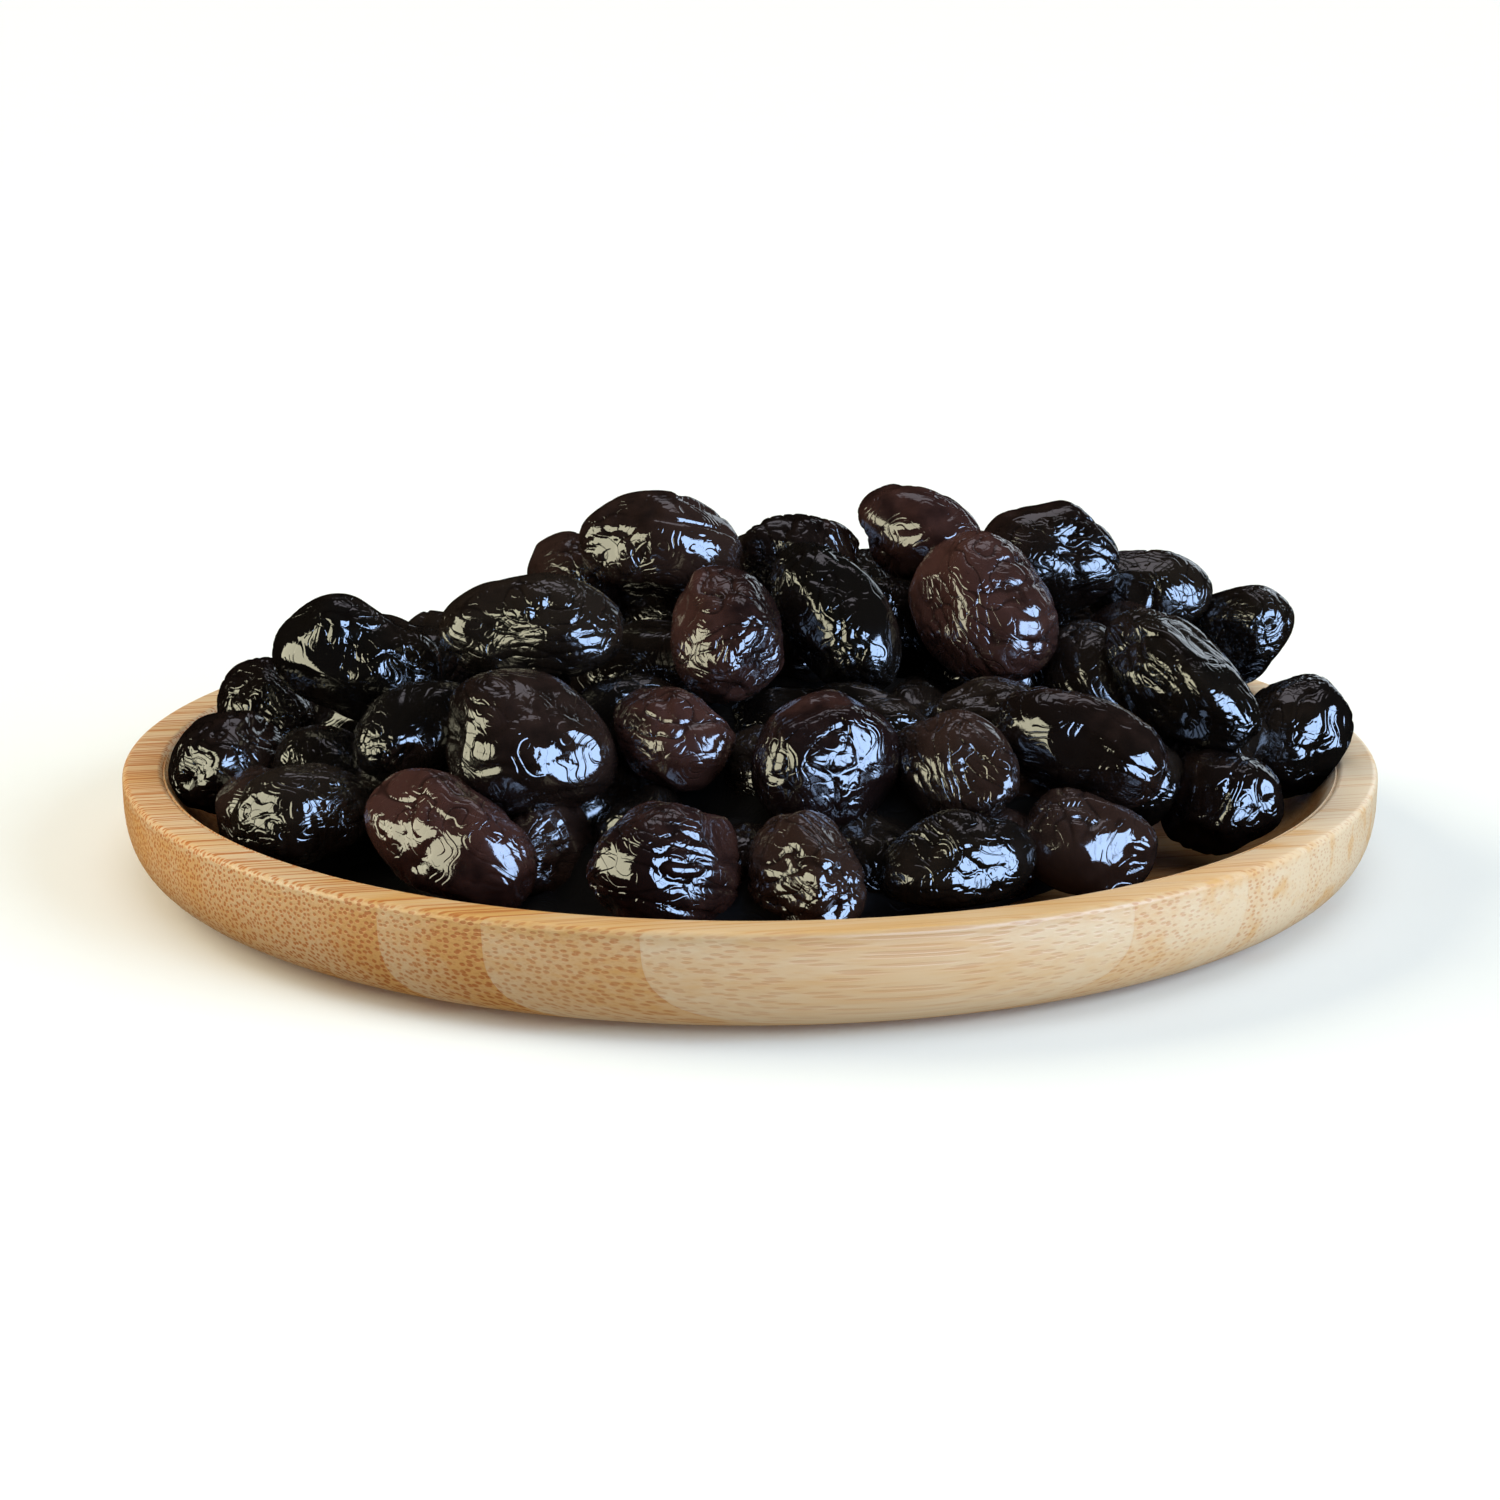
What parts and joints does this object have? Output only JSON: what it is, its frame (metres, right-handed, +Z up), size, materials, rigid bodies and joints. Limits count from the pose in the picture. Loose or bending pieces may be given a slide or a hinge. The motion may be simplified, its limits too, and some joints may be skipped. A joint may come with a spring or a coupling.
{
  "type": "dish of olives",
  "caption": "Round turned bamboo dish heaped well over its rim with wrinkled, oil-cured black olives; the heap and the dish are separate solids.",
  "frame": {"origin": "middle of the dish's flat foot, on the table", "axes": "+Z up, through the middle of the round dish; -Y towards the viewer of the front; +X to that viewer's right"},
  "size_m": [0.18, 0.18, 0.0542],
  "materials": {
    "bamboo": "turned laminated bamboo, pale straw with darker fibre dots and streaks, sanded and lightly oiled, satin",
    "olive_skin": "near-black wrinkled olive skin, wet with oil, glossy, brownish purple where light falls on it"
  },
  "bodies": {
    "root": {"dish": "bamboo", "olives": "olive_skin"}
  },
  "joints": []
}
